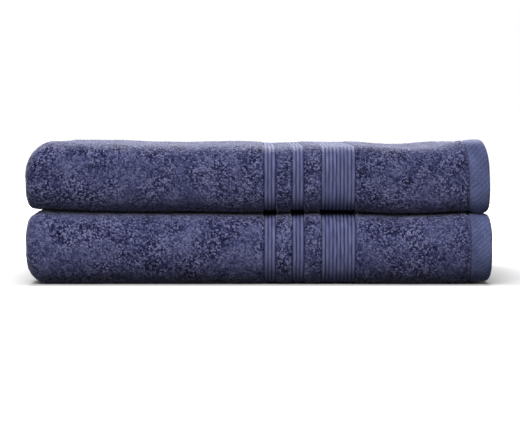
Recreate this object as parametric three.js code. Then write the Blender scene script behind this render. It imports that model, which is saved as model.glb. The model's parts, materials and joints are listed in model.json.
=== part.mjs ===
// A set of two bath towels, folded and laid one on the other. Millimetres, +Z up.
// The front fold faces -Y, the loose edges are at the rear (+Y), and the end hems are on the right (+X).
// The origin is on the ground under the middle of the set.
//
// Each towel is folded crosswise in half and in half again, which makes a leaf of four layers, and the
// leaf is then folded double over a fold at the front: a base leaf, a nose and a flap leaf.
// Every piece is a flat strip of cloth, a box, whose points are carried through those folds.

import * as THREE from 'three';

// Driving dimensions.
const TOWEL_LENGTH = 1400;      // flat, before the two crosswise folds
const LAYER_PITCH = 6.9;        // height that one layer takes in the stack
const LEAF_LAYERS = 4;
const LEAF_RUN = 307;           // outer face of a leaf, from the hinge line to its rear edge
const REAR_STEP = 4;            // how much further back each inner layer ends
const HEM_SETBACK = 2;          // the first fold and the inner end hem stop this short of the outer hem
const TOWEL_GAP = 0.3;          // between the two towels
const PIECE_GAP = 0.3;          // between neighbouring pieces of one towel

// Thicknesses and widths of the pieces.
const CLOTH_THICKNESS = LAYER_PITCH - PIECE_GAP;
const HEM_THICKNESS = 5.2;
const SEAM_THICKNESS = 2.4;
const END_HEM_WIDTH = 14.5;
const SIDE_HEM_WIDTH = 10;
const SEAM_WIDTH = 1;

// Shape of the folds.
const NOSE_FLATNESS = 0.85;     // depth of the front fold over half its height
const NOSE_SQUARENESS = 2.4;    // 2 is an ellipse, more is a squarer nose
const NOSE_STEPS = 14;
const BEND_STEPS = 8;

// Care label, sewn to the rear edge of the flap's outer layer.
const LABEL_WIDTH = 32;
const LABEL_THICKNESS = 0.5;
const LABEL_SHELF = 6.5;        // runs straight back before it turns down
const LABEL_BEND = 8;
const LABEL_DROP = 18;
const LABEL_FROM_HEM = 46;      // centre of the label, from the end hem's edge

// Worked out from the above.
const OUTER_FACE = PIECE_GAP / 2;
const LEAF_HEIGHT = LEAF_LAYERS * LAYER_PITCH;
const TOWEL_HEIGHT = 2 * LEAF_HEIGHT;
const OUTER_BEND = 1.5 * LAYER_PITCH;
const INNER_BEND = 0.5 * LAYER_PITCH;
const FIRST_FOLD = 0.5 * LAYER_PITCH;
const BENDS_LENGTH = Math.PI * (OUTER_BEND + INNER_BEND + FIRST_FOLD);
const FOLD_SETBACK = HEM_SETBACK + LAYER_PITCH;
const OUTER_RUN = (TOWEL_LENGTH - BENDS_LENGTH + 2 * FOLD_SETBACK + HEM_SETBACK) / 4;
const TOWEL_ACROSS = OUTER_RUN + LEAF_HEIGHT / 2 - OUTER_FACE;
const NOSE_DEPTH = NOSE_FLATNESS * (LEAF_HEIGHT - OUTER_FACE);
const LABEL_START = REAR_STEP / 2 + 2 * PIECE_GAP;
const LABEL_REACH = LABEL_START + LABEL_SHELF + LABEL_BEND + LABEL_THICKNESS / 2;
const TOWEL_DEEP = NOSE_DEPTH + LEAF_RUN + LABEL_REACH;

const RIGHT = TOWEL_ACROSS / 2;
const LEFT_BEND = RIGHT - OUTER_RUN;
const RIGHT_BEND = RIGHT - FOLD_SETBACK;
const INNER_END = RIGHT - HEM_SETBACK;
const HINGE_Y = NOSE_DEPTH - TOWEL_DEEP / 2;
const OUTER_REAR = HINGE_Y + LEAF_RUN;
const END_SEAM_AT = END_HEM_WIDTH + PIECE_GAP;
const END_CLOTH_AT = END_SEAM_AT + SEAM_WIDTH + PIECE_GAP;
const SIDE_SEAM_AT = SIDE_HEM_WIDTH + PIECE_GAP;
const SIDE_CLOTH_AT = SIDE_SEAM_AT + SEAM_WIDTH + PIECE_GAP;

// Materials.
const LOOKS = {
  terry: { color: 0x51567f, roughness: 0.95 },
  hem: { color: 0x5a6491, roughness: 0.85 },
  thread: { color: 0x474f78, roughness: 0.6 },
  label: { color: 0xe9e8e4, roughness: 0.5 },
};

function material(slot) {
  return new THREE.MeshStandardMaterial({ ...LOOKS[slot], metalness: 0 });
}

// ---- Crosswise folds --------------------------------------------------------------------------

// A station is one place along the towel's length, seen from the front: how far across the stack it is,
// how deep below the outer face, and which way the towel's outer side faces there.
function flatStation(x, layer, facing) {
  return { x, depth: (layer + 0.5) * LAYER_PITCH, faceX: 0, faceDepth: facing };
}

function bendStations(x, depth, radius, fromAngle, toAngle, facing) {
  const stations = [];
  for (let step = 0; step <= BEND_STEPS; step += 1) {
    const angle = THREE.MathUtils.lerp(fromAngle, toAngle, step / BEND_STEPS);
    stations.push({
      x: x + radius * Math.cos(angle),
      depth: depth + radius * Math.sin(angle),
      faceX: facing * Math.cos(angle),
      faceDepth: facing * Math.sin(angle),
    });
  }
  return stations;
}

// The whole length: outer layer, round the left, innermost layer, first fold at the right, back to the
// left inside, and out along the second layer.
function lengthStations(outerInset, innerInset) {
  const quarter = Math.PI / 2;
  return [
    flatStation(RIGHT - outerInset, 0, -1),
    ...bendStations(LEFT_BEND, 2 * LAYER_PITCH, OUTER_BEND, -quarter, -3 * quarter, 1),
    ...bendStations(RIGHT_BEND, 3 * LAYER_PITCH, FIRST_FOLD, quarter, -quarter, 1),
    ...bendStations(LEFT_BEND, 2 * LAYER_PITCH, INNER_BEND, quarter, 3 * quarter, -1),
    flatStation(INNER_END - innerInset, 1, 1),
  ];
}

// A strip along one end of the towel, between two distances from that end.
function outerEndStations(near, far) {
  return [flatStation(RIGHT - near, 0, -1), flatStation(RIGHT - far, 0, -1)];
}

function innerEndStations(near, far) {
  return [flatStation(INNER_END - far, 1, 1), flatStation(INNER_END - near, 1, 1)];
}

// ---- Lengthwise fold --------------------------------------------------------------------------

// A wrap is one place along the towel's width. It puts a point of the leaf, given by its depth below the
// outer face, on the base leaf, round the nose, or on the flap leaf. The rear edges end on a sloping
// plane, because the outer layers use up more of their width in the nose.
function rearOf(depth) {
  return OUTER_REAR + (REAR_STEP * depth) / LAYER_PITCH;
}

function squared(value) {
  return Math.sign(value) * Math.abs(value) ** (2 / NOSE_SQUARENESS);
}

const onBase = (inset) => (x, depth) => new THREE.Vector3(x, rearOf(depth) - inset, depth);
const onFlap = (inset) => (x, depth) => (
  new THREE.Vector3(x, rearOf(depth) - inset, TOWEL_HEIGHT - depth)
);
const baseAtHinge = (x, depth) => new THREE.Vector3(x, HINGE_Y + PIECE_GAP, depth);
const flapAtHinge = (x, depth) => new THREE.Vector3(x, HINGE_Y + PIECE_GAP, TOWEL_HEIGHT - depth);

function onNose(angle) {
  return (x, depth) => {
    const reach = LEAF_HEIGHT - depth;
    const y = HINGE_Y - NOSE_FLATNESS * reach * squared(Math.sin(angle));
    return new THREE.Vector3(x, y, LEAF_HEIGHT - reach * squared(Math.cos(angle)));
  };
}

function noseWraps() {
  const wraps = [];
  for (let step = 0; step <= NOSE_STEPS; step += 1) {
    wraps.push(onNose((Math.PI * step) / NOSE_STEPS));
  }
  return wraps;
}

const baseWraps = [onBase(SIDE_CLOTH_AT), baseAtHinge];
const flapWraps = [flapAtHinge, onFlap(SIDE_CLOTH_AT)];
const wholeWraps = [onBase(SIDE_CLOTH_AT), ...noseWraps(), onFlap(SIDE_CLOTH_AT)];

// ---- Pieces -----------------------------------------------------------------------------------

// A box with one row of points for each station and each wrap, carried through both folds.
function foldedStrip(stations, wraps, thickness) {
  const box = new THREE.BoxGeometry(1, 1, 1, stations.length - 1, wraps.length - 1, 1);
  const points = box.getAttribute('position');
  for (let index = 0; index < points.count; index += 1) {
    const station = stations[Math.round((points.getX(index) + 0.5) * (stations.length - 1))];
    const wrap = wraps[Math.round((points.getY(index) + 0.5) * (wraps.length - 1))];
    const outward = -points.getZ(index) * thickness;
    const x = station.x + outward * station.faceX;
    const depth = station.depth + outward * station.faceDepth;
    const place = wrap(x, depth);
    points.setXYZ(index, place.x, place.y, place.z);
  }
  return box;
}

function piece(name, slot, geometry) {
  const mesh = new THREE.Mesh(geometry, material(slot));
  mesh.name = name;
  return mesh;
}

// The end hems and their lines of stitching, for one stretch of the width.
function endPieces(name, stretch, wraps) {
  const suffix = stretch ? `_${stretch}` : '';
  const ends = { outer: outerEndStations, inner: innerEndStations };
  return Object.entries(ends).flatMap(([end, stations]) => [
    piece(`${name}_${end}_hem${suffix}`, 'hem',
      foldedStrip(stations(0, END_HEM_WIDTH), wraps, HEM_THICKNESS)),
    piece(`${name}_${end}_seam${suffix}`, 'thread',
      foldedStrip(stations(END_SEAM_AT, END_SEAM_AT + SEAM_WIDTH), wraps, SEAM_THICKNESS)),
  ]);
}

// The side hems and their stitching run the whole length, along the rear edges of a leaf.
function sidePieces(name) {
  const sides = {
    base: (near, far) => [onBase(near), onBase(far)],
    flap: (near, far) => [onFlap(far), onFlap(near)],
  };
  return Object.entries(sides).flatMap(([side, wraps]) => [
    piece(`${name}_${side}_side_hem`, 'hem',
      foldedStrip(lengthStations(0, 0), wraps(0, SIDE_HEM_WIDTH), HEM_THICKNESS)),
    piece(`${name}_${side}_side_seam`, 'thread',
      foldedStrip(lengthStations(0, 0), wraps(SIDE_SEAM_AT, SIDE_SEAM_AT + SEAM_WIDTH), SEAM_THICKNESS)),
  ]);
}

// A blank ribbon: back from the hem, over a quarter turn, and down behind the towel.
function careLabel(name) {
  const half = LABEL_THICKNESS / 2;
  const outline = new THREE.Shape();
  outline.moveTo(0, half);
  outline.lineTo(LABEL_SHELF, half);
  outline.absarc(LABEL_SHELF, -LABEL_BEND, LABEL_BEND + half, Math.PI / 2, 0, true);
  outline.lineTo(LABEL_SHELF + LABEL_BEND + half, -LABEL_BEND - LABEL_DROP);
  outline.lineTo(LABEL_SHELF + LABEL_BEND - half, -LABEL_BEND - LABEL_DROP);
  outline.lineTo(LABEL_SHELF + LABEL_BEND - half, -LABEL_BEND);
  outline.absarc(LABEL_SHELF, -LABEL_BEND, LABEL_BEND - half, 0, Math.PI / 2, false);
  outline.lineTo(0, -half);
  outline.closePath();
  const ribbon = new THREE.ExtrudeGeometry(outline, {
    depth: LABEL_WIDTH, bevelEnabled: false, curveSegments: BEND_STEPS,
  });
  ribbon.translate(0, 0, -LABEL_WIDTH / 2);
  ribbon.rotateX(Math.PI / 2);
  ribbon.rotateZ(Math.PI / 2);
  const label = piece(name, 'label', ribbon);
  label.position.set(
    RIGHT - LABEL_FROM_HEM, OUTER_REAR + LABEL_START, TOWEL_HEIGHT - LAYER_PITCH / 2,
  );
  return label;
}

// ---- Towels -----------------------------------------------------------------------------------

// The lower towel lies still, so its cloth and end hems run right round the front fold.
function lowerTowel() {
  const towel = new THREE.Group();
  const cloth = foldedStrip(lengthStations(END_CLOTH_AT, END_CLOTH_AT), wholeWraps, CLOTH_THICKNESS);
  towel.add(
    piece('lower_towel_cloth', 'terry', cloth),
    ...endPieces('lower_towel', '', wholeWraps),
    ...sidePieces('lower_towel'),
    careLabel('lower_towel_care_label'),
  );
  return towel;
}

// The upper towel opens at its front fold, so each piece that crosses the fold is parted there.
function upperTowel() {
  const towel = new THREE.Group();
  const stretches = { base: baseWraps, fold: noseWraps(), flap: flapWraps };
  for (const [stretch, wraps] of Object.entries(stretches)) {
    const cloth = foldedStrip(lengthStations(END_CLOTH_AT, END_CLOTH_AT), wraps, CLOTH_THICKNESS);
    towel.add(
      piece(`upper_towel_cloth_${stretch}`, 'terry', cloth),
      ...endPieces('upper_towel', stretch, wraps),
    );
  }
  towel.add(...sidePieces('upper_towel'), careLabel('upper_towel_care_label'));
  towel.position.z = TOWEL_HEIGHT - 2 * OUTER_FACE + TOWEL_GAP;
  return towel;
}

const towelSet = new THREE.Group();
towelSet.name = 'bath_towel_set';
towelSet.add(lowerTowel(), upperTowel());
towelSet.position.z = -OUTER_FACE;

export default towelSet;
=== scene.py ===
# A set of two folded bath towels: the looks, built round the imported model. Metres, +Z up, front
# towards -Y.
#
# Each piece is first laid out on the flat cloth, in cloth coordinates: s runs along the length from the
# outer end hem, t runs across the width from the start of the front fold (less than 0 on the base leaf,
# more than NOSE_LENGTH on the flap leaf), and h is the height above the middle of the cloth, on the side
# that faces out. fold() then carries the points to their places in the stack.

import json
import math

import bmesh
import bpy
import numpy as np
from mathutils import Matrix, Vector


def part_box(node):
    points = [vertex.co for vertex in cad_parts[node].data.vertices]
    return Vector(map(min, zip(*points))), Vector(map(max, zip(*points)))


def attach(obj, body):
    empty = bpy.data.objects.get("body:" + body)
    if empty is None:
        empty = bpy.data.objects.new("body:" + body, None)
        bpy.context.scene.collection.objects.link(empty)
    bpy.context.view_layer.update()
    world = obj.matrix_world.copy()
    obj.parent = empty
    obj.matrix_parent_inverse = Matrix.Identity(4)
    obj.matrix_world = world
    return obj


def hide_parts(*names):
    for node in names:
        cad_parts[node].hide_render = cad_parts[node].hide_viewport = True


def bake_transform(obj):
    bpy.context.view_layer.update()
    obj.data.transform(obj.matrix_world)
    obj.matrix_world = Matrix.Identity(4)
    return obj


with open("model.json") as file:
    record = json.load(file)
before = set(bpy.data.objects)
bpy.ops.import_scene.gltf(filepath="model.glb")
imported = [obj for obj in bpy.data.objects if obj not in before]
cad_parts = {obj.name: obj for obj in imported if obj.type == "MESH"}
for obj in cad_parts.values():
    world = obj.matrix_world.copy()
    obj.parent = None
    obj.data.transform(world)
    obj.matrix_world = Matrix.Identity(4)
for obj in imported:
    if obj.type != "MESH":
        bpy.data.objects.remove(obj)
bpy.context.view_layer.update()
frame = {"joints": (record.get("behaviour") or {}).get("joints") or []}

MM = 0.001

# The flat cloth.
END_HEM_WIDTH = 15.6 * MM
SIDE_HEM_WIDTH = 10 * MM
HEM_THICKNESS = 5.2 * MM
SEAM_WIDTH = 1.6 * MM
PILE_DEPTH = 1.35 * MM          # the loops stand this high above the ribbed bands
RIB_PITCH = 2.85 * MM
RIB_HEIGHT = 0.6 * MM
BANDS = [                       # where each ribbed band starts, and how many ribs it has
    (102.8 * MM, 9),
    (142.2 * MM, 3),
    (163.7 * MM, 3),
]
STITCH_PITCH = 3.2 * MM

# The folds, which repeat the CAD model's.
PIECE_GAP = 0.3 * MM
REAR_STEP = 4 * MM
HEM_SETBACK = 2 * MM
NOSE_SQUARENESS = 2.4

# Distances between the points of a mesh.
RIB_STEP = RIB_PITCH / 8
LOOP_STEP = 0.9 * MM
LEAF_STEP = 1.8 * MM
INSIDE_STEP = 2.4 * MM
HIDDEN_STEP = 25 * MM


# ---- Sizes worked out from the frame ----------------------------------------------------------

lower_low, lower_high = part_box("lower_towel_cloth")
upper_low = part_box("upper_towel_cloth_base")[0]
side_hem_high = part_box("lower_towel_flap_side_hem")[1]
hinge = next(joint for joint in frame["joints"] if joint["name"] == "unfold_flap")

PITCH = (lower_high.z - lower_low.z + PIECE_GAP) / 8
LEAF = 4 * PITCH
HALF_CLOTH = (PITCH - PIECE_GAP) / 2
RIGHT = side_hem_high.x
HINGE_Y = hinge["pos_m"][1]
NOSE_FLATNESS = (HINGE_Y - lower_low.y) / (LEAF - PIECE_GAP / 2)
LEFT_BEND = lower_low.x + 2 * PITCH - PIECE_GAP / 2
RIGHT_BEND = RIGHT - HEM_SETBACK - PITCH
OUTER_REAR = side_hem_high.y - REAR_STEP * (3.5 + HEM_THICKNESS / 2 / PITCH)
LEAF_RUN = OUTER_REAR - HINGE_Y
NOSE_LENGTH = 0.94 * math.pi * LEAF
FLAP_END = NOSE_LENGTH + LEAF_RUN

# Where each stretch of the length starts: outer layer, left bend, fourth layer, first fold, third layer,
# inner left bend, and second layer.
OUTER_RUN = RIGHT - LEFT_BEND
INNER_RUN = RIGHT_BEND - LEFT_BEND
BEND_AT = OUTER_RUN
FOURTH_AT = BEND_AT + math.pi * 1.5 * PITCH
FOLD_AT = FOURTH_AT + INNER_RUN
THIRD_AT = FOLD_AT + math.pi * 0.5 * PITCH
INNER_BEND_AT = THIRD_AT + INNER_RUN
SECOND_AT = INNER_BEND_AT + math.pi * 0.5 * PITCH
LENGTH = SECOND_AT + OUTER_RUN - HEM_SETBACK


# ---- Smooth steps and random waves ------------------------------------------------------------

def ease(value):
    """0 below 0, 1 above 1, and a smooth step between."""
    value = np.clip(value, 0, 1)
    return value * value * (3 - 2 * value)


def hill(x, middle, width):
    """1 at the middle, about a third at the width from it, and 0 far away."""
    return np.exp(-(((x - middle) / width) ** 2))


def waves(x, y, size, seed):
    """Smooth random heights from -1 to 1, which change over a distance of size."""
    table = np.random.default_rng(seed).uniform(-1, 1, (256, 256))
    x, y = np.broadcast_arrays(np.asarray(x) / size + 512.3, np.asarray(y) / size + 512.7)
    column, row = np.floor(x).astype(int), np.floor(y).astype(int)
    right, up = ease(x - column), ease(y - row)

    def corner(across, above):
        return table[(column + across) % 256, (row + above) % 256]

    low = corner(0, 0) * (1 - right) + corner(1, 0) * right
    high = corner(0, 1) * (1 - right) + corner(1, 1) * right
    return low * (1 - up) + high * up


# ---- The folds --------------------------------------------------------------------------------

PILE_EDGE = 1.4 * MM            # the loops reach their full height over this distance
CREASE_REACH = 10 * MM          # how far up and down the crease between the towels draws the cloth in
TERRY_PINCH = 0.25              # how much the terry draws in there, as a share of what the bands do
LOOSE_FROM = 0.8                # from this share of a leaf's depth to its rear, the layers lie loosely
LOOSENESS = 0.45 * MM


def outside_bands(s):
    """0 in the ribbed bands, 1 outside them, and a smooth step of PILE_EDGE between."""
    share = np.ones_like(s)
    for start, ribs in BANDS:
        share = share * ease(np.maximum(start - s, s - start - ribs * RIB_PITCH) / PILE_EDGE)
    return share


def crosswise(s):
    """Seen from the front: place across the stack, depth below the leaf's outer face, and the direction
    in which the cloth's outer side faces, in those two coordinates."""
    x, depth = np.zeros_like(s), np.zeros_like(s)
    face_x, face_depth = np.zeros_like(s), np.zeros_like(s)

    def straight(here, x_here, layer, facing):
        x[here] = x_here[here]
        depth[here] = (layer - 0.5) * PITCH
        face_depth[here] = facing

    def bend(here, start, x_middle, depth_middle, radius, first_angle, turning, facing):
        angle = first_angle + turning * (s[here] - start) / radius
        x[here] = x_middle + radius * np.cos(angle)
        depth[here] = depth_middle + radius * np.sin(angle)
        face_x[here] = facing * np.cos(angle)
        face_depth[here] = facing * np.sin(angle)

    quarter = math.pi / 2
    straight(s < BEND_AT, RIGHT - s, 1, -1)
    bend((s >= BEND_AT) & (s < FOURTH_AT), BEND_AT, LEFT_BEND, 2 * PITCH, 1.5 * PITCH, -quarter, -1, 1)
    straight((s >= FOURTH_AT) & (s < FOLD_AT), LEFT_BEND + s - FOURTH_AT, 4, 1)
    bend((s >= FOLD_AT) & (s < THIRD_AT), FOLD_AT, RIGHT_BEND, 3 * PITCH, 0.5 * PITCH, quarter, -1, 1)
    straight((s >= THIRD_AT) & (s < INNER_BEND_AT), RIGHT_BEND - s + THIRD_AT, 3, -1)
    bend((s >= INNER_BEND_AT) & (s < SECOND_AT), INNER_BEND_AT,
         LEFT_BEND, 2 * PITCH, 0.5 * PITCH, quarter, 1, -1)
    straight(s >= SECOND_AT, LEFT_BEND + s - SECOND_AT, 2, 1)
    return x, depth, face_x, face_depth


def fold(cloth, towel):
    """Points given in cloth coordinates, carried to their places in the stack. Beside the crease between
    the towels the cloth draws in, all but its end hem, and the thin ribbed bands draw in most."""
    s, t, h = np.moveaxis(cloth, -1, 0)
    pinch = (1 - (1 - TERRY_PINCH) * outside_bands(s)) * hill(t, towel["crease_at"], CREASE_REACH)
    pinch = pinch * ease((s - END_HEM_WIDTH) / (8 * MM))
    h = h - np.where(h > 0, pinch * towel["pinch"], 0)
    x, middle, face_x, face_depth = crosswise(s)
    side = np.where(t > NOSE_LENGTH / 2, 1.0, 0.0)
    back = np.maximum(-t, t - NOSE_LENGTH) / LEAF_RUN
    loose = LOOSENESS * ease((back - LOOSE_FROM) / (1 - LOOSE_FROM))
    x = x + h * face_x
    depth = middle + h * face_depth + loose * waves(s, side, 0.045, towel["seed"])

    turn = math.pi * np.clip(t / NOSE_LENGTH, 0, 1)
    out, up = np.sin(turn), -np.cos(turn)
    power = NOSE_SQUARENESS
    reach = (LEAF - depth) * (np.abs(out) ** power + np.abs(up) ** power) ** (-1 / power)
    ragged = towel["rear_waves"] * waves(s, side, 0.1, towel["seed"])
    rear = OUTER_REAR + REAR_STEP * middle / PITCH + ragged
    y = np.where(back > 0, HINGE_Y + back * (rear - HINGE_Y), HINGE_Y - NOSE_FLATNESS * reach * out)
    z = np.where(back > 0, np.where(side > 0, 2 * LEAF - depth, depth), LEAF + reach * up)
    return settle(x, y, z, towel)


def settle(x, y, z, towel):
    """The slump of the soft stack: its ends round off, and its faces get low waves. Above and below say
    how far a point lies over or under the middle of its towel: 1 is at its top or its underside."""
    rise = (z - LEAF) / LEAF
    above, below = np.clip(rise, 0, 1.1), np.clip(-rise, 0, 1.1)
    at_right = ease((x - RIGHT + 70 * MM) / (70 * MM))
    at_left = ease((LEFT_BEND + 60 * MM - x) / (75 * MM))
    x = x - at_right * towel["right_end"](above, below) + at_left * towel["left_end"](above, below)

    at_front = ease((HINGE_Y + 30 * MM - y) / (50 * MM))
    y = y + at_front * 1.1 * MM * waves(x, z, 0.07, towel["seed"] + 1)
    y = y + at_front * 0.5 * MM * waves(x, z, 0.025, towel["seed"] + 2)
    y = y + at_front * towel["front_lean"](x, above, below)

    height = ease((rise + 1) / 2)
    z = z + (1 - height) * towel["under"](x, y) + height * towel["over"](x, y)
    return np.stack([x + towel["shift"], y, z + towel["floor"] - PIECE_GAP / 2], axis=-1)


TOP_SETTLING = 3.0              # how far the loose top of the stack has sunk, in millimetres


def hem_end(x):
    """0 over the terry, and 1 at the right end, where the end hems lie."""
    return ease((x - RIGHT + END_HEM_WIDTH) / (7 * MM))


def on_floor(x, y):
    """The lower towel's underside, which lifts off the floor under the hem and at the left end."""
    return (1.2 * hem_end(x) + 2.2 * ease((LEFT_BEND - x) / (20 * MM))) * MM


def between_towels(x, y):
    """The lower towel's top: higher at the left, and pressed in near the bands and the right."""
    swell = 2.0 * hill(x, -0.18, 0.05) - 1.0 * hill(x, -0.01, 0.035) - 1.8 * hill(x, 0.112, 0.035)
    return (swell + 0.3 * waves(x, y, 0.06, 5)) * MM


def drooping(x, y):
    """The upper towel's underside. Its hem droops onto the lower towel's, as both are thinner than the
    terry, and most in front of the hinge line."""
    droop = 1.2 + 1.3 * ease((HINGE_Y - y) / (12 * MM))
    return between_towels(x, y) - droop * MM * hem_end(x)


def top_of_stack(x, y):
    """The upper towel's top, which has sunk below the CAD model's flat one."""
    swell = 1.3 * ease((-0.085 - x) / 0.04) - 0.6 * hill(x, -0.055, 0.025)
    swell = swell - 1.4 * hill(x, 0.015, 0.018) - 2.9 * hill(x, 0.115, 0.026)
    front_corners = 1.3 * hill(x, -0.158, 0.016) + 4.7 * ease((x - 0.136) / 0.03)
    swell = swell + front_corners * ease((-0.05 - y) / 0.1)
    return (swell - TOP_SETTLING + 0.3 * waves(x, y, 0.07, 9)) * MM


def lower_left_end(above, below):
    """The lower towel's left end bulges above its middle, and rounds off at the top and the floor."""
    return (-0.1 - 1.5 * above ** 3 + 3.5 * above ** 10 + 2 * below ** 2) * MM


def upper_front(x, above, below):
    """How far back the upper towel's front leans. It comes forward a little above its middle, and its
    edges are squarer in the terry beside the hem."""
    squarer = hill(x, 0.118, 0.04) * (4.5 * above ** 3 + 3.5 * below ** 3)
    return (-10 * above ** 2 * (1 - above) - squarer) * MM


# What sets the towels apart. "right_end" and "left_end" say how far the ends draw in, "under" and "over"
# how far the underside and the top rise, and "front_lean" how far back the front leans.
TOWELS = {
    "lower_towel": {
        "seed": 11,
        "crease_at": 0.86 * NOSE_LENGTH,
        "pinch": 2.2 * MM,
        "floor": lower_low.z,
        "under": on_floor,
        "over": between_towels,
        "shift": -0.3 * MM,
        "rear_waves": 2.2 * MM,
        "right_end": lambda above, below: (-1.5 + 2.5 * above ** 4 + 3 * below ** 8) * MM,
        "left_end": lower_left_end,
        "front_lean": lambda x, above, below: 3.5 * below ** 1.5 * MM,
    },
    "upper_towel": {
        "seed": 47,
        "crease_at": 0.07 * NOSE_LENGTH,
        "pinch": 1.8 * MM,
        "floor": upper_low.z,
        "under": drooping,
        "over": top_of_stack,
        "shift": -0.5 * MM,
        "rear_waves": 2.6 * MM,
        "right_end": lambda above, below: (3.8 * above ** 3 + 2 * above + 2 * below ** 8) * MM,
        "left_end": lambda above, below: (8 * above ** 2 - 1.2 * above ** 8 - 6 * below ** 4) * MM,
        "front_lean": upper_front,
    },
}


# ---- Building a piece -------------------------------------------------------------------------

def spread(*stops):
    """Positions from the first stop to the last. Each stop is a position and the step that follows it."""
    positions = []
    for (start, step), (end, _) in zip(stops, stops[1:]):
        count = max(1, round((end - start) / step))
        positions.extend(start + (end - start) * i / count for i in range(count))
    return np.array([*positions, stops[-1][0]])


def width_lines(nose_step, leaf_step, rear_inset):
    """Positions across the width, from the base leaf's rear edge to the flap's."""
    return spread(
        (rear_inset - LEAF_RUN, 8 * MM),
        (-40 * MM, leaf_step),
        (0, nose_step),
        (NOSE_LENGTH, leaf_step),
        (FLAP_END - rear_inset, leaf_step),
    )


def texture_places(points):
    """Places from 0 to 1 along a row of points. Widely spaced points don't show and get little room."""
    steps = np.linalg.norm(np.diff(points, axis=0), axis=1)
    room = np.where(steps < 1.3 * LEAF_STEP, steps, 0.3 * MM)
    return np.concatenate([[0], np.cumsum(room)]) / room.sum()


def tube_faces(rings, cells):
    """Faces that join each ring to the next and fill both end rings with the polygons in cells, and the
    texture place of each corner of each face."""
    count, around = rings.shape[:2]
    index = np.arange(count * around).reshape(count, around)
    ahead = np.roll(index, -1, axis=1)
    sides = np.stack([index[:-1], ahead[:-1], ahead[1:], index[1:]], axis=-1).reshape(-1, 4)
    last = (count - 1) * around
    caps = [list(cell) for cell in cells] + [[last + i for i in cell] for cell in cells]

    u = 0.99 * texture_places(np.concatenate([rings[count // 2], rings[count // 2, :1]]))
    v = 0.99 * texture_places(rings[:, 0])
    left, low = np.meshgrid(u[:-1], v[:-1])
    right, high = np.meshgrid(u[1:], v[1:])
    corners = [(left, low), (right, low), (right, high), (left, high)]
    side_uv = np.stack([np.stack(corner, axis=-1) for corner in corners], axis=2).reshape(-1, 2)
    cap_uv = np.full((sum(len(cap) for cap in caps), 2), 0.995)
    return sides.tolist() + caps, np.concatenate([side_uv, cap_uv])


def add_piece(part, towel_name, cloth, faces, body, nodes, materials, uv=None, material_of=None):
    """Makes the piece, folds it, and ties it to a body, unless body is None."""
    name = f"{towel_name.removesuffix('_towel')}_{part}"
    points = cloth.reshape(-1, 3)
    mesh = bpy.data.meshes.new(name)
    mesh.from_pydata(points.tolist(), [], faces)
    pattern_shift = TOWELS[towel_name]["seed"] * 10 * MM
    pattern = points + (0, pattern_shift, 0)
    mesh.attributes.new("cloth", "FLOAT_VECTOR", "POINT").data.foreach_set("vector", pattern.ravel())
    for material in materials:
        mesh.materials.append(material)
    if material_of is not None:
        mesh.polygons.foreach_set("material_index", material_of)
    if uv is not None:
        mesh.uv_layers.new(name="OFBake").uv.foreach_set("vector", uv.ravel())
    mesh.shade_smooth()
    piece = bpy.data.objects.new(name, mesh)
    bpy.context.scene.collection.objects.link(piece)
    if body is None:
        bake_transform(piece)

    mesh.vertices.foreach_set("co", fold(points, TOWELS[towel_name]).ravel())
    working = bmesh.new()
    working.from_mesh(mesh)
    bmesh.ops.recalc_face_normals(working, faces=working.faces)
    working.to_mesh(mesh)
    working.free()
    if body is not None:
        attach(piece, body)
    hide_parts(*nodes)
    return piece


# ---- The terry cloth --------------------------------------------------------------------------

CLOTH_INSET = END_HEM_WIDTH + SEAM_WIDTH / 2
SIDE_INSET = SIDE_HEM_WIDTH + SEAM_WIDTH / 2
LOOP_DIP = 0.3 * MM             # how far the loops stay below the pile's full depth on average
LOOP_SWAY = 0.25 * MM           # how far they lean aside at most


def length_lines():
    """Positions along the length for the cloth's outer side, close together where it shows."""
    stops = [(CLOTH_INSET, RIB_STEP), (CLOTH_INSET + 2 * PILE_EDGE, LOOP_STEP)]
    for start, ribs in BANDS:
        end = start + ribs * RIB_PITCH
        stops += [
            (start - PILE_EDGE, RIB_STEP),
            (start, RIB_STEP),
            (end, RIB_STEP),
            (end + PILE_EDGE, LOOP_STEP),
        ]
    stops += [
        (FOURTH_AT, INSIDE_STEP),
        (FOLD_AT, LOOP_STEP),
        (THIRD_AT, HIDDEN_STEP),
        (INNER_BEND_AT, LOOP_STEP),
        (SECOND_AT, HIDDEN_STEP),
        (LENGTH - CLOTH_INSET, HIDDEN_STEP),
    ]
    return spread(*stops)


def sparse_lines(lines):
    """Which of the lines the inner side keeps: all in the bends, and few between them."""
    bends = [(BEND_AT, FOURTH_AT), (FOLD_AT, THIRD_AT), (INNER_BEND_AT, SECOND_AT)]
    kept = [0]
    for i, s in enumerate(lines):
        in_bend = any(start <= s <= end for start, end in bends)
        if s - lines[kept[-1]] > (0 if in_bend else HIDDEN_STEP) or (s == lines[-1] and kept[-1] != i):
            kept.append(i)
    return kept


def pile_share(s, t):
    """1 where the pile stands at its full height, 0 in the bands and along the hems."""
    edges = np.minimum(t + LEAF_RUN - SIDE_INSET, FLAP_END - SIDE_INSET - t)
    share = ease((np.minimum(edges, s - CLOTH_INSET) + 0.9 * MM) / (1.3 * PILE_EDGE))
    return share * outside_bands(s)


def rib_share(s):
    """The ribs' rounded section, from 0 in the grooves to 1 on top."""
    share = np.zeros_like(s)
    for start, ribs in BANDS:
        phase = (s - start) / RIB_PITCH
        share = np.where((phase > 0) & (phase < ribs), np.abs(np.sin(math.pi * phase)) ** 0.6, share)
    return share


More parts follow.
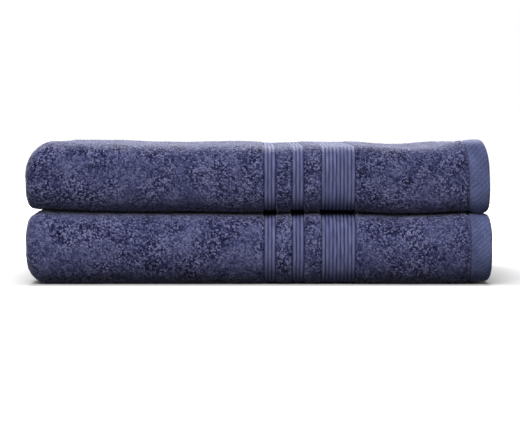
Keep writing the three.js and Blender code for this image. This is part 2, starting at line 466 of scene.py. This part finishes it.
def outer_side(s, t, seed):
    """The cloth's outer side, with its pile and ribs, as cloth coordinates. The pile is shaggy where it
    shows: less so in the fourth layer, and not in the hidden layers or far back on the base leaf."""
    random = np.random.default_rng(seed)
    pile = pile_share(s, t)
    shown = np.where(s < FOURTH_AT, 1.0, np.where(s < FOLD_AT, 0.6, 0.0))
    shown = shown * ease((t + 36 * MM) / (30 * MM))
    shaggy = pile * shown
    loops = 0.26 * random.uniform(-1, 1, s.shape) + 0.16 * waves(s, t, 2.7 * MM, seed)
    tufts = 0.25 * waves(s, t, 9 * MM, seed + 1)
    h = HALF_CLOTH - PILE_DEPTH + RIB_HEIGHT * rib_share(s)
    h = h + pile * (PILE_DEPTH - LOOP_DIP) + shaggy * (loops + tufts) * MM
    s = s + shaggy * LOOP_SWAY * random.uniform(-1, 1, s.shape)
    t = t + shaggy * LOOP_SWAY * random.uniform(-1, 1, s.shape)
    return np.stack([s, t, h], axis=-1)


def add_cloth(towel_name, body, nodes):
    """The towel's cloth as one closed skin, in rings that go out along its outer side and back along its
    inner side."""
    lines = length_lines()
    kept = sparse_lines(lines)
    widths = width_lines(LOOP_STEP, LEAF_STEP, SIDE_INSET)
    s, t = np.meshgrid(lines, widths)
    outer = outer_side(s, t, TOWELS[towel_name]["seed"])
    inner = np.stack([s, t, np.full_like(s, -HALF_CLOTH)], axis=-1)[:, kept[::-1]]
    rings = np.concatenate([outer, inner], axis=1)

    around = rings.shape[1]
    cells = [
        [*range(a, b + 1), around - 2 - k, around - 1 - k]
        for k, (a, b) in enumerate(zip(kept, kept[1:]))
    ]
    faces, uv = tube_faces(rings, cells)
    middles = (lines[:-1] + lines[1:]) / 2
    banded = np.zeros(around, int)
    for start, ribs in BANDS:
        banded[:len(middles)] |= (middles > start) & (middles < start + ribs * RIB_PITCH)
    material_of = np.concatenate([np.tile(banded, len(widths) - 1), np.zeros(2 * len(cells), int)])
    return add_piece("cloth", towel_name, rings, faces, body, nodes,
                     [MATERIALS["terry"], MATERIALS["band"]], uv, material_of)


# ---- Hems -------------------------------------------------------------------------------------

HEM_OVERLAP = 0.4 * MM          # how far a hem reaches past its width, into the seam's groove
PUCKER_PITCH = 4 * MM
PUCKER_SLANT = 0.93


def flat_section(width, thickness, steps):
    """Points round a flat section with round edges: how far across, and how high."""
    angle = np.linspace(0, math.pi, steps + 1)
    across = width / 2 * (1 - np.cos(angle))
    half = thickness / 2 * np.sqrt(1 - np.cos(angle) ** 8)
    return np.concatenate([across, across[-2:0:-1]]), np.concatenate([half, -half[-2:0:-1]])


def puckers(s, t, seed):
    """Slanting pull lines across a hem that was turned over and sewn down, from -1 to 1."""
    slant = t + PUCKER_SLANT * s + 0.7 * MM * waves(s, t, 9 * MM, seed)
    strength = 0.65 + 0.35 * waves(s, t, 14 * MM, seed + 1)
    return strength * np.sin(2 * math.pi * slant / PUCKER_PITCH)


def add_end_hem(towel_name, end, body, nodes):
    """The hem at one end of the length: "outer" shows at the right of the front, and "inner" is hidden
    under it, so its points lie farther apart."""
    outer = end == "outer"
    across, high = flat_section(END_HEM_WIDTH + HEM_OVERLAP, HEM_THICKNESS, 20 if outer else 8)
    nose_step, leaf_step = (0.5 * MM, 1 * MM) if outer else (1.5 * MM, 4 * MM)
    widths = width_lines(nose_step, leaf_step, SIDE_INSET)
    s = across if outer else LENGTH - across
    s, t = np.meshgrid(s, widths)
    h = np.broadcast_to(high, s.shape)
    seed = TOWELS[towel_name]["seed"] + 20
    h = h + np.sign(h) * (0.13 * puckers(s, t, seed) + 0.25 * waves(s, t, 18 * MM, seed)) * MM
    s = s + 0.35 * MM * waves(t, 0 * t, 11 * MM, seed + 2) * ease(1 - across / (5 * MM))
    rings = np.stack([s, t, h], axis=-1)
    faces, uv = tube_faces(rings, [range(len(across))])
    return add_piece(f"{end}_hem", towel_name, rings, faces, body, nodes,
                     [MATERIALS["hem"]], uv)


def add_side_hem(towel_name, leaf, body, nodes):
    """The hem along a leaf's rear edge, which follows the whole length through the folds."""
    across, high = flat_section(SIDE_HEM_WIDTH + HEM_OVERLAP, HEM_THICKNESS, 10)
    wide, close = 2.5 * MM, 1 * MM
    lengths = spread(
        (0, wide), (BEND_AT, close), (FOURTH_AT, wide), (FOLD_AT, close),
        (THIRD_AT, wide), (INNER_BEND_AT, close), (SECOND_AT, wide), (LENGTH, wide),
    )
    edge = across - LEAF_RUN if leaf == "base" else FLAP_END - across
    t, s = np.meshgrid(edge, lengths)
    seed = TOWELS[towel_name]["seed"] + (30 if leaf == "base" else 40)
    swell = 0.3 * waves(s, t, 16 * MM, seed) + 0.15 * waves(s, t, 5 * MM, seed + 1)
    h = high + np.sign(high) * swell * MM
    t = t + 0.5 * MM * waves(s, 0 * s, 12 * MM, seed + 2) * ease(1 - across / (6 * MM))
    rings = np.stack([s, t, h], axis=-1)
    faces, uv = tube_faces(rings, [range(len(across))])
    return add_piece(f"{leaf}_side_hem", towel_name, rings, faces, body, nodes,
                     [MATERIALS["hem"]], uv)


# ---- Stitches ---------------------------------------------------------------------------------

STITCH_LENGTH = 2.7 * MM
STITCH_RADIUS = 0.36 * MM
STITCH_LIFT = 0.25 * MM         # how far its middle stands above its ends
STITCH_SIDES = 6
STITCH_RINGS = [                # place along the thread from -0.5 to 0.5, and its thickness there
    (-0.4, 0.6),
    (-0.2, 1),
    (0.2, 1),
    (0.4, 0.6),
]


def stitch_shape():
    """One stitch, as offsets along, across and up, with its faces: a short thread with tapered ends."""
    points = [(-0.5 * STITCH_LENGTH, 0, 0)]
    for along, size in STITCH_RINGS:
        for side in range(STITCH_SIDES):
            angle = 2 * math.pi * side / STITCH_SIDES
            points.append((
                along * STITCH_LENGTH,
                size * STITCH_RADIUS * math.cos(angle),
                size * (STITCH_RADIUS * math.sin(angle) + STITCH_LIFT),
            ))
    points.append((0.5 * STITCH_LENGTH, 0, 0))
    last_ring = len(STITCH_RINGS) - 1
    faces = []
    for side in range(STITCH_SIDES):
        after = (side + 1) % STITCH_SIDES
        faces.append([0, 1 + side, 1 + after])
        faces.append([len(points) - 1] + [1 + last_ring * STITCH_SIDES + i for i in (after, side)])
        for ring in range(last_ring):
            low, high = 1 + ring * STITCH_SIDES, 1 + (ring + 1) * STITCH_SIDES
            faces.append([low + side, high + side, high + after, low + after])
    return np.array(points), faces


def add_seam(part, towel_name, start, end, body, nodes):
    """A line of stitches from one place on the flat cloth to another, along s or along t."""
    start, end = np.array(start), np.array(end)
    run = np.linalg.norm(end - start)
    along = (end - start) / run
    across = np.array([along[1], -along[0], 0])
    shape, shape_faces = stitch_shape()
    random = np.random.default_rng(TOWELS[towel_name]["seed"] + 50)
    points, faces = [], []
    for i in range(int(run / STITCH_PITCH)):
        middle = start + along * STITCH_PITCH * (i + 0.5)
        skew = random.uniform(-0.08, 0.08)
        sideways = shape[:, 1] + skew * shape[:, 0]
        faces += [[len(points) * len(shape) + corner for corner in face] for face in shape_faces]
        points.append(middle + np.outer(shape[:, 0], along) + np.outer(sideways, across)
                      + np.outer(shape[:, 2], (0, 0, 1)))
    return add_piece(part, towel_name, np.concatenate(points), faces, body, nodes,
                     [MATERIALS["thread"]])


def add_seams(towel_name, bodies, nodes_of):
    """The four lines of stitching of one towel, each in the groove beside its hem."""
    sunk = HALF_CLOTH - PILE_DEPTH
    first, last = SIDE_INSET - LEAF_RUN, FLAP_END - SIDE_INSET
    inner = LENGTH - CLOTH_INSET
    runs = {
        "outer": ((CLOTH_INSET, first, sunk), (CLOTH_INSET, last, sunk), bodies["whole"]),
        "inner": ((inner, first, sunk), (inner, last, sunk), bodies["whole"]),
        "base_side": ((0, first, sunk), (LENGTH, first, sunk), bodies["base"]),
        "flap_side": ((0, last, sunk), (LENGTH, last, sunk), bodies["flap"]),
    }
    return [
        add_seam(f"{place}_seam", towel_name, start, end, body, nodes_of(f"{place}_seam"))
        for place, (start, end, body) in runs.items()
    ]


# ---- Care label -------------------------------------------------------------------------------

LABEL_FROM_END = 46 * MM        # from the towel's end to the middle of the ribbon
LABEL_THICKNESS = 0.4 * MM
LABEL_IN_HEM = 7 * MM
LABEL_SHELF = 6.5 * MM          # how far it stands out straight before it bends down
LABEL_BEND = 8 * MM
LABEL_DROP = 18 * MM
LABEL_CURL = 1.2 * MM
LABEL_BOW = 0.8 * MM


def add_label(towel_name, body, nodes):
    """A blank ribbon that comes out of the flap's rear hem and hangs down behind the towel."""
    low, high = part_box(f"{towel_name}_care_label")
    across, up = flat_section(high.x - low.x, LABEL_THICKNESS, 12)
    path, normals = [], []
    for reach in np.linspace(-LABEL_IN_HEM, LABEL_SHELF, 6)[:-1]:
        path.append((reach, 0))
        normals.append((0, 1))
    for angle in np.linspace(0, math.pi / 2, 9):
        path.append((LABEL_SHELF + LABEL_BEND * math.sin(angle), LABEL_BEND * (math.cos(angle) - 1)))
        normals.append((math.sin(angle), math.cos(angle)))
    for drop in np.linspace(0, 1, 10)[1:]:
        curl = LABEL_CURL * drop ** 3
        path.append((LABEL_SHELF + LABEL_BEND + curl, -LABEL_BEND - LABEL_DROP * drop))
        normals.append((1, 0))
    path, normals = np.array(path), np.array(normals)
    hanging = ease(np.linspace(-0.5, 1.5, len(path)))[:, None]
    bow = LABEL_BOW * np.sin(math.pi * across / across.max()) * hanging
    s = np.broadcast_to(LABEL_FROM_END - across.max() / 2 + across, (len(path), len(across)))
    t = FLAP_END + path[:, :1] + normals[:, :1] * (up + bow)
    h = path[:, 1:] + normals[:, 1:] * (up + bow)
    rings = np.stack([s, t, h], axis=-1)
    faces, uv = tube_faces(rings, [range(len(across))])
    return add_piece("care_label", towel_name, rings, faces, body, nodes,
                     [MATERIALS["label"]], uv)


# ---- Materials --------------------------------------------------------------------------------

LOOP_SIZE = 1.35 * MM


class Look:
    """A new material with a Principled shader and a few ways to add nodes to it."""

    def __init__(self, name, **constants):
        self.material = bpy.data.materials.new(name)
        self.material.use_nodes = True
        self.tree = self.material.node_tree
        self.shader = self.tree.nodes["Principled BSDF"]
        for socket, value in constants.items():
            self.shader.inputs[socket.replace("_", " ")].default_value = value
        self.cloth = self.add("ShaderNodeAttribute", {"attribute_name": "cloth"}).outputs["Vector"]

    def add(self, kind, settings=None, **inputs):
        node = self.tree.nodes.new(kind)
        for name, value in (settings or {}).items():
            setattr(node, name, value)
        for name, value in inputs.items():
            self.put(node.inputs[name.replace("_", " ")], value)
        return node

    def put(self, socket, value):
        if isinstance(value, bpy.types.NodeSocket):
            self.tree.links.new(value, socket)
        else:
            socket.default_value = value

    def maths(self, operation, *values):
        node = self.tree.nodes.new("ShaderNodeMath")
        node.operation = operation
        for socket, value in zip(node.inputs, values):
            self.put(socket, value)
        return node.outputs[0]

    def total(self, base, *terms):
        """A base number plus the sum of (value, weight) pairs."""
        result = base
        for value, weight in terms:
            result = self.maths("MULTIPLY_ADD", value, weight, result)
        return result

    def scaled(self, x, y, z):
        """The cloth coordinates times one number each."""
        return self.add("ShaderNodeMapping", Vector=self.cloth, Scale=(x, y, z)).outputs[0]

    def noise(self, size, detail, where=None):
        """Noise about 0, where size is the distance between its spots."""
        node = self.add("ShaderNodeTexNoise", Vector=where or self.cloth, Scale=1 / size, Detail=detail)
        return self.maths("SUBTRACT", node.outputs[0], 0.5)

    def step(self, value, low, high, top=1.0):
        """From 0 where the value is low to top where it is high."""
        node = self.add("ShaderNodeMapRange", Value=value, From_Min=low, From_Max=high, To_Max=top)
        return node.outputs[0]

    def height(self, low, high):
        """From 0 at one height above the middle of the cloth to 1 at another."""
        h = self.add("ShaderNodeSeparateXYZ", Vector=self.cloth).outputs[2]
        return self.step(h, low, high)

    def ramp(self, value, *stops):
        node = self.add("ShaderNodeValToRGB", Fac=value)
        colours = node.color_ramp.elements
        while len(colours) < len(stops):
            colours.new(0.5)
        for element, (position, colour) in zip(colours, stops):
            element.position = position
            element.color = (*colour, 1)
        self.put(self.shader.inputs["Base Color"], node.outputs[0])

    def bump(self, value, distance):
        node = self.add("ShaderNodeBump", Height=value, Distance=distance, Strength=1.0)
        self.put(self.shader.inputs["Normal"], node.outputs[0])

    def rough(self, value):
        self.put(self.shader.inputs["Roughness"], value)


def terry_look():
    look = Look("terry", Sheen_Weight=0.32, Sheen_Roughness=0.35, Sheen_Tint=(0.8, 0.83, 0.95, 1),
                Specular_IOR_Level=0.1)
    loops = look.add("ShaderNodeTexVoronoi", Vector=look.cloth, Scale=1 / LOOP_SIZE, Randomness=0.75)
    gaps = loops.outputs["Distance"]
    tone = look.add("ShaderNodeSeparateColor", Color=loops.outputs["Color"]).outputs[0]
    fibres = look.noise(0.7 * MM, 1)
    ruffling = look.total(0.0, (look.noise(22 * MM, 3), 1.0), (look.noise(7 * MM, 1), 0.35))
    ruffled = look.step(ruffling, -0.12, 0.16)
    # Painted shade: besides the loops' random tone and fibres, the colour darkens towards the gaps
    # between the loops, where shade falls among them.
    specks_and_gap_shade = look.total(0.12, (tone, 0.7), (gaps, -0.75), (fibres, 0.8))
    contrast = look.total(0.45, (ruffled, 0.75))
    speckled_and_gap_shade = look.maths("MULTIPLY", specks_and_gap_shade, contrast)
    # Painted shade: the colour darkens where the pile stands low, as if shaded by the loops around it.
    raised = look.height(HALF_CLOTH - 1.1 * MM, HALF_CLOTH + 0.3 * MM)
    shade = look.total(0.25, (speckled_and_gap_shade, 1.1), (ruffled, -0.22), (raised, 0.42))
    look.ramp(
        shade,
        (0.05, (0.003, 0.003, 0.018)),
        (0.35, (0.025, 0.027, 0.080)),
        (0.62, (0.075, 0.079, 0.172)),
        (1.0, (0.190, 0.193, 0.330)),
    )
    look.rough(look.total(0.92, (fibres, 0.25)))
    look.bump(look.total(0.5, (gaps, -0.8), (fibres, 0.7)), 0.6 * MM)
    return look.material


def band_look():
    look = Look("ribbed_band", Sheen_Weight=0.04, Sheen_Roughness=0.4, Sheen_Tint=(0.6, 0.65, 0.95, 1),
                Specular_IOR_Level=0.15)
    weave = look.noise(1.0, 2, look.scaled(1 / (1.1 * MM), 1 / (0.45 * MM), 0))
    streaks = look.noise(1.0, 2, look.scaled(1 / (1.6 * MM), 1 / (14 * MM), 0))
    ground = HALF_CLOTH - PILE_DEPTH
    # Painted shade: the colour darkens in the grooves between the ribs.
    raised = look.height(ground, ground + RIB_HEIGHT)
    shade = look.total(0.08, (raised, 0.6), (weave, 0.5), (streaks, 0.7))
    look.ramp(
        shade,
        (0.1, (0.014, 0.015, 0.042)),
        (0.55, (0.075, 0.082, 0.180)),
        (1.0, (0.190, 0.205, 0.370)),
    )
    look.rough(look.total(0.8, (weave, 0.3)))
    look.bump(weave, 0.2 * MM)
    return look.material


def hem_look():
    look = Look("hem", Sheen_Weight=0.2, Sheen_Roughness=0.4, Sheen_Tint=(0.6, 0.65, 0.95, 1),
                Specular_IOR_Level=0.15)
    place = look.add("ShaderNodeSeparateXYZ", Vector=look.cloth).outputs
    bent = look.noise(9 * MM, 1)
    turns = 2 * math.pi / PUCKER_PITCH
    slant = look.total(0.0, (place[0], PUCKER_SLANT * turns), (place[1], turns), (bent, 3.0))
    pulls = look.maths("SINE", slant)
    weave = look.noise(0.8 * MM, 2)
    patches = look.noise(16 * MM, 1)
    # Painted shade and highlight: the colour follows the same slanting pull lines as the hem's puckers,
    # darker and lighter along their ridges.
    shade = look.total(0.45, (pulls, 0.08), (weave, 1.1), (patches, 0.7))
    look.ramp(
        shade,
        (0.1, (0.028, 0.033, 0.080)),
        (0.5, (0.076, 0.090, 0.190)),
        (0.95, (0.145, 0.165, 0.320)),
    )
    look.rough(look.total(0.82, (weave, 0.3)))
    look.bump(look.total(0.0, (pulls, 0.25), (weave, 0.5)), 0.25 * MM)
    return look.material


def thread_look():
    look = Look("thread", Sheen_Weight=0.2, Specular_IOR_Level=0.35)
    twist = look.add("ShaderNodeTexWave", {"bands_direction": "DIAGONAL"}, Vector=look.cloth,
                     Scale=1 / (0.5 * MM) / 3.2, Distortion=0.5).outputs["Fac"]
    look.ramp(look.total(0.2, (twist, 0.6)), (0, (0.035, 0.040, 0.095)), (1, (0.110, 0.125, 0.250)))
    look.rough(look.total(0.5, (twist, 0.15)))
    look.bump(twist, 0.1 * MM)
    return look.material


def label_look():
    look = Look("label", Sheen_Weight=0.1, Specular_IOR_Level=0.5)
    weave = look.noise(1.0, 1, look.scaled(1 / (0.25 * MM), 1 / (1.6 * MM), 0))
    look.ramp(look.total(0.5, (weave, 0.6)), (0, (0.66, 0.66, 0.63)), (1, (0.86, 0.86, 0.83)))
    look.rough(look.total(0.42, (weave, 0.3)))
    look.bump(weave, 0.08 * MM)
    return look.material


MATERIALS = {
    "terry": terry_look(),
    "band": band_look(),
    "hem": hem_look(),
    "thread": thread_look(),
    "label": label_look(),
}


# ---- The two towels ---------------------------------------------------------------------------

def add_lower_towel():
    """The lower towel is one body, which every piece of it rides."""
    name = "lower_towel"
    cloth = add_cloth(name, name, [f"{name}_cloth"])
    pieces = [add_end_hem(name, end, name, [f"{name}_{end}_hem"]) for end in ("outer", "inner")]
    pieces += [add_side_hem(name, leaf, name, [f"{name}_{leaf}_side_hem"]) for leaf in ("base", "flap")]
    bodies = {"whole": name, "base": name, "flap": name}
    pieces += add_seams(name, bodies, lambda seam: [f"{name}_{seam}"])
    pieces.append(add_label(name, name, [f"{name}_care_label"]))


def add_upper_towel():
    """The upper towel opens: whatever crosses its front fold hides the CAD model's base, fold and flap
    parts, and rides no body.
    """
    name = "upper_towel"
    stretches = ("base", "fold", "flap")

    def parted(piece):
        return [f"{name}_{piece}_{stretch}" for stretch in stretches]

    def seam_nodes(seam):
        return [f"{name}_{seam}"] if "side" in seam else parted(seam)

    cloth = add_cloth(name, None, parted("cloth"))
    pieces = [add_end_hem(name, end, None, parted(f"{end}_hem")) for end in ("outer", "inner")]
    pieces += [
        add_side_hem(name, leaf, f"{name}_{leaf}", [f"{name}_{leaf}_side_hem"])
        for leaf in ("base", "flap")
    ]
    bodies = {"whole": None, "base": f"{name}_base", "flap": f"{name}_flap"}
    pieces += add_seams(name, bodies, seam_nodes)
    pieces.append(add_label(name, f"{name}_flap", [f"{name}_care_label"]))


add_lower_towel()
add_upper_towel()


# ---- Floor, light and camera ------------------------------------------------------------------

FRAME_WIDTH = 395.6 * MM        # how much the picture takes in at the front of the towels
CAMERA_AWAY = 2.0
CAMERA_HEIGHT = 0.130
SENSOR_WIDTH = 36               # in Blender's millimetres
AIM = Vector((1.6 * MM, lower_low.y, 57.2 * MM))
FLOOR_REACH = 30.0
GLOW_START = lower_low.y + 3 * MM           # the floor glows from here towards the camera
GLOW_RAMP = 15 * MM


def add_floor():
    """A pale floor, which glows far from the towels and in front of them, without lighting them."""
    mesh = bpy.data.meshes.new("floor")
    low, high = -FLOOR_REACH, FLOOR_REACH
    corners = [(low, low, 0), (high, low, 0), (high, high, 0), (low, high, 0)]
    mesh.from_pydata(corners, [], [[0, 1, 2, 3]])
    floor = bpy.data.objects.new("floor", mesh)
    bpy.context.scene.collection.objects.link(floor)
    look = Look("floor", Base_Color=(0.6, 0.6, 0.6, 1), Roughness=0.9, Specular_IOR_Level=0.0,
                Emission_Color=(1, 1, 1, 1))
    place = look.add("ShaderNodeTexCoord").outputs["Object"]
    y = look.add("ShaderNodeSeparateXYZ", Vector=place).outputs[1]
    away = look.add("ShaderNodeVectorMath", {"operation": "LENGTH"}, Vector=place).outputs["Value"]
    around = look.step(away, 0.5, 2.5, 0.85)
    in_front = look.step(y, GLOW_START, GLOW_START - GLOW_RAMP, 0.6)
    look.put(look.shader.inputs["Emission Strength"], look.maths("MAXIMUM", around, in_front))
    mesh.materials.append(look.material)
    floor.visible_diffuse = False


def add_light(name, place, width, height, power):
    """A soft box that faces the towels."""
    lamp = bpy.data.lights.new(name, "AREA")
    lamp.shape = "RECTANGLE"
    lamp.size, lamp.size_y, lamp.energy = width, height, power
    light = bpy.data.objects.new(name, lamp)
    bpy.context.scene.collection.objects.link(light)
    light.location = place
    light.rotation_euler = (-Vector(place)).to_track_quat("-Z", "Y").to_euler()


SKY = [                         # height of a direction, where 1 is straight up, and the brightness there
    (-0.03, 0.02),
    (-0.01, 1.0),
    (0.07, 1.0),
    (0.14, 0.34),
    (0.8, 0.34),
]


def add_studio():
    scene = bpy.context.scene
    world = bpy.data.worlds.new("studio")
    world.use_nodes = True
    tree = world.node_tree
    direction = tree.nodes.new("ShaderNodeTexCoord")
    parts = tree.nodes.new("ShaderNodeSeparateXYZ")
    glow = tree.nodes.new("ShaderNodeValToRGB")
    colours = glow.color_ramp.elements
    while len(colours) < len(SKY):
        colours.new(0.5)
    for element, (height, brightness) in zip(colours, SKY):
        element.position = (height + 1) / 2
        element.color = (brightness, brightness, brightness, 1)
    raised = tree.nodes.new("ShaderNodeMath")
    raised.operation = "MULTIPLY_ADD"
    raised.inputs[1].default_value = 0.5
    raised.inputs[2].default_value = 0.5
    tree.links.new(direction.outputs["Generated"], parts.inputs[0])
    tree.links.new(parts.outputs["Z"], raised.inputs[0])
    tree.links.new(raised.outputs[0], glow.inputs[0])
    tree.links.new(glow.outputs[0], tree.nodes["Background"].inputs["Color"])
    scene.world = world
    scene.view_settings.view_transform = "Standard"
    add_light("front", (-0.3, -1.75, 1.35), width=1.2, height=1.0, power=50)
    add_light("back", (-0.1, 1.5, 1.3), width=1.0, height=0.7, power=84)


def add_camera():
    lens = bpy.data.cameras.new("camera")
    lens.sensor_width = SENSOR_WIDTH
    lens.lens = SENSOR_WIDTH * CAMERA_AWAY / FRAME_WIDTH
    camera = bpy.data.objects.new("camera", lens)
    bpy.context.scene.collection.objects.link(camera)
    camera.location = Vector((AIM.x, AIM.y - CAMERA_AWAY, CAMERA_HEIGHT))
    camera.rotation_euler = (AIM - camera.location).to_track_quat("-Z", "Y").to_euler()
    bpy.context.scene.camera = camera


add_floor()
add_studio()
add_camera()
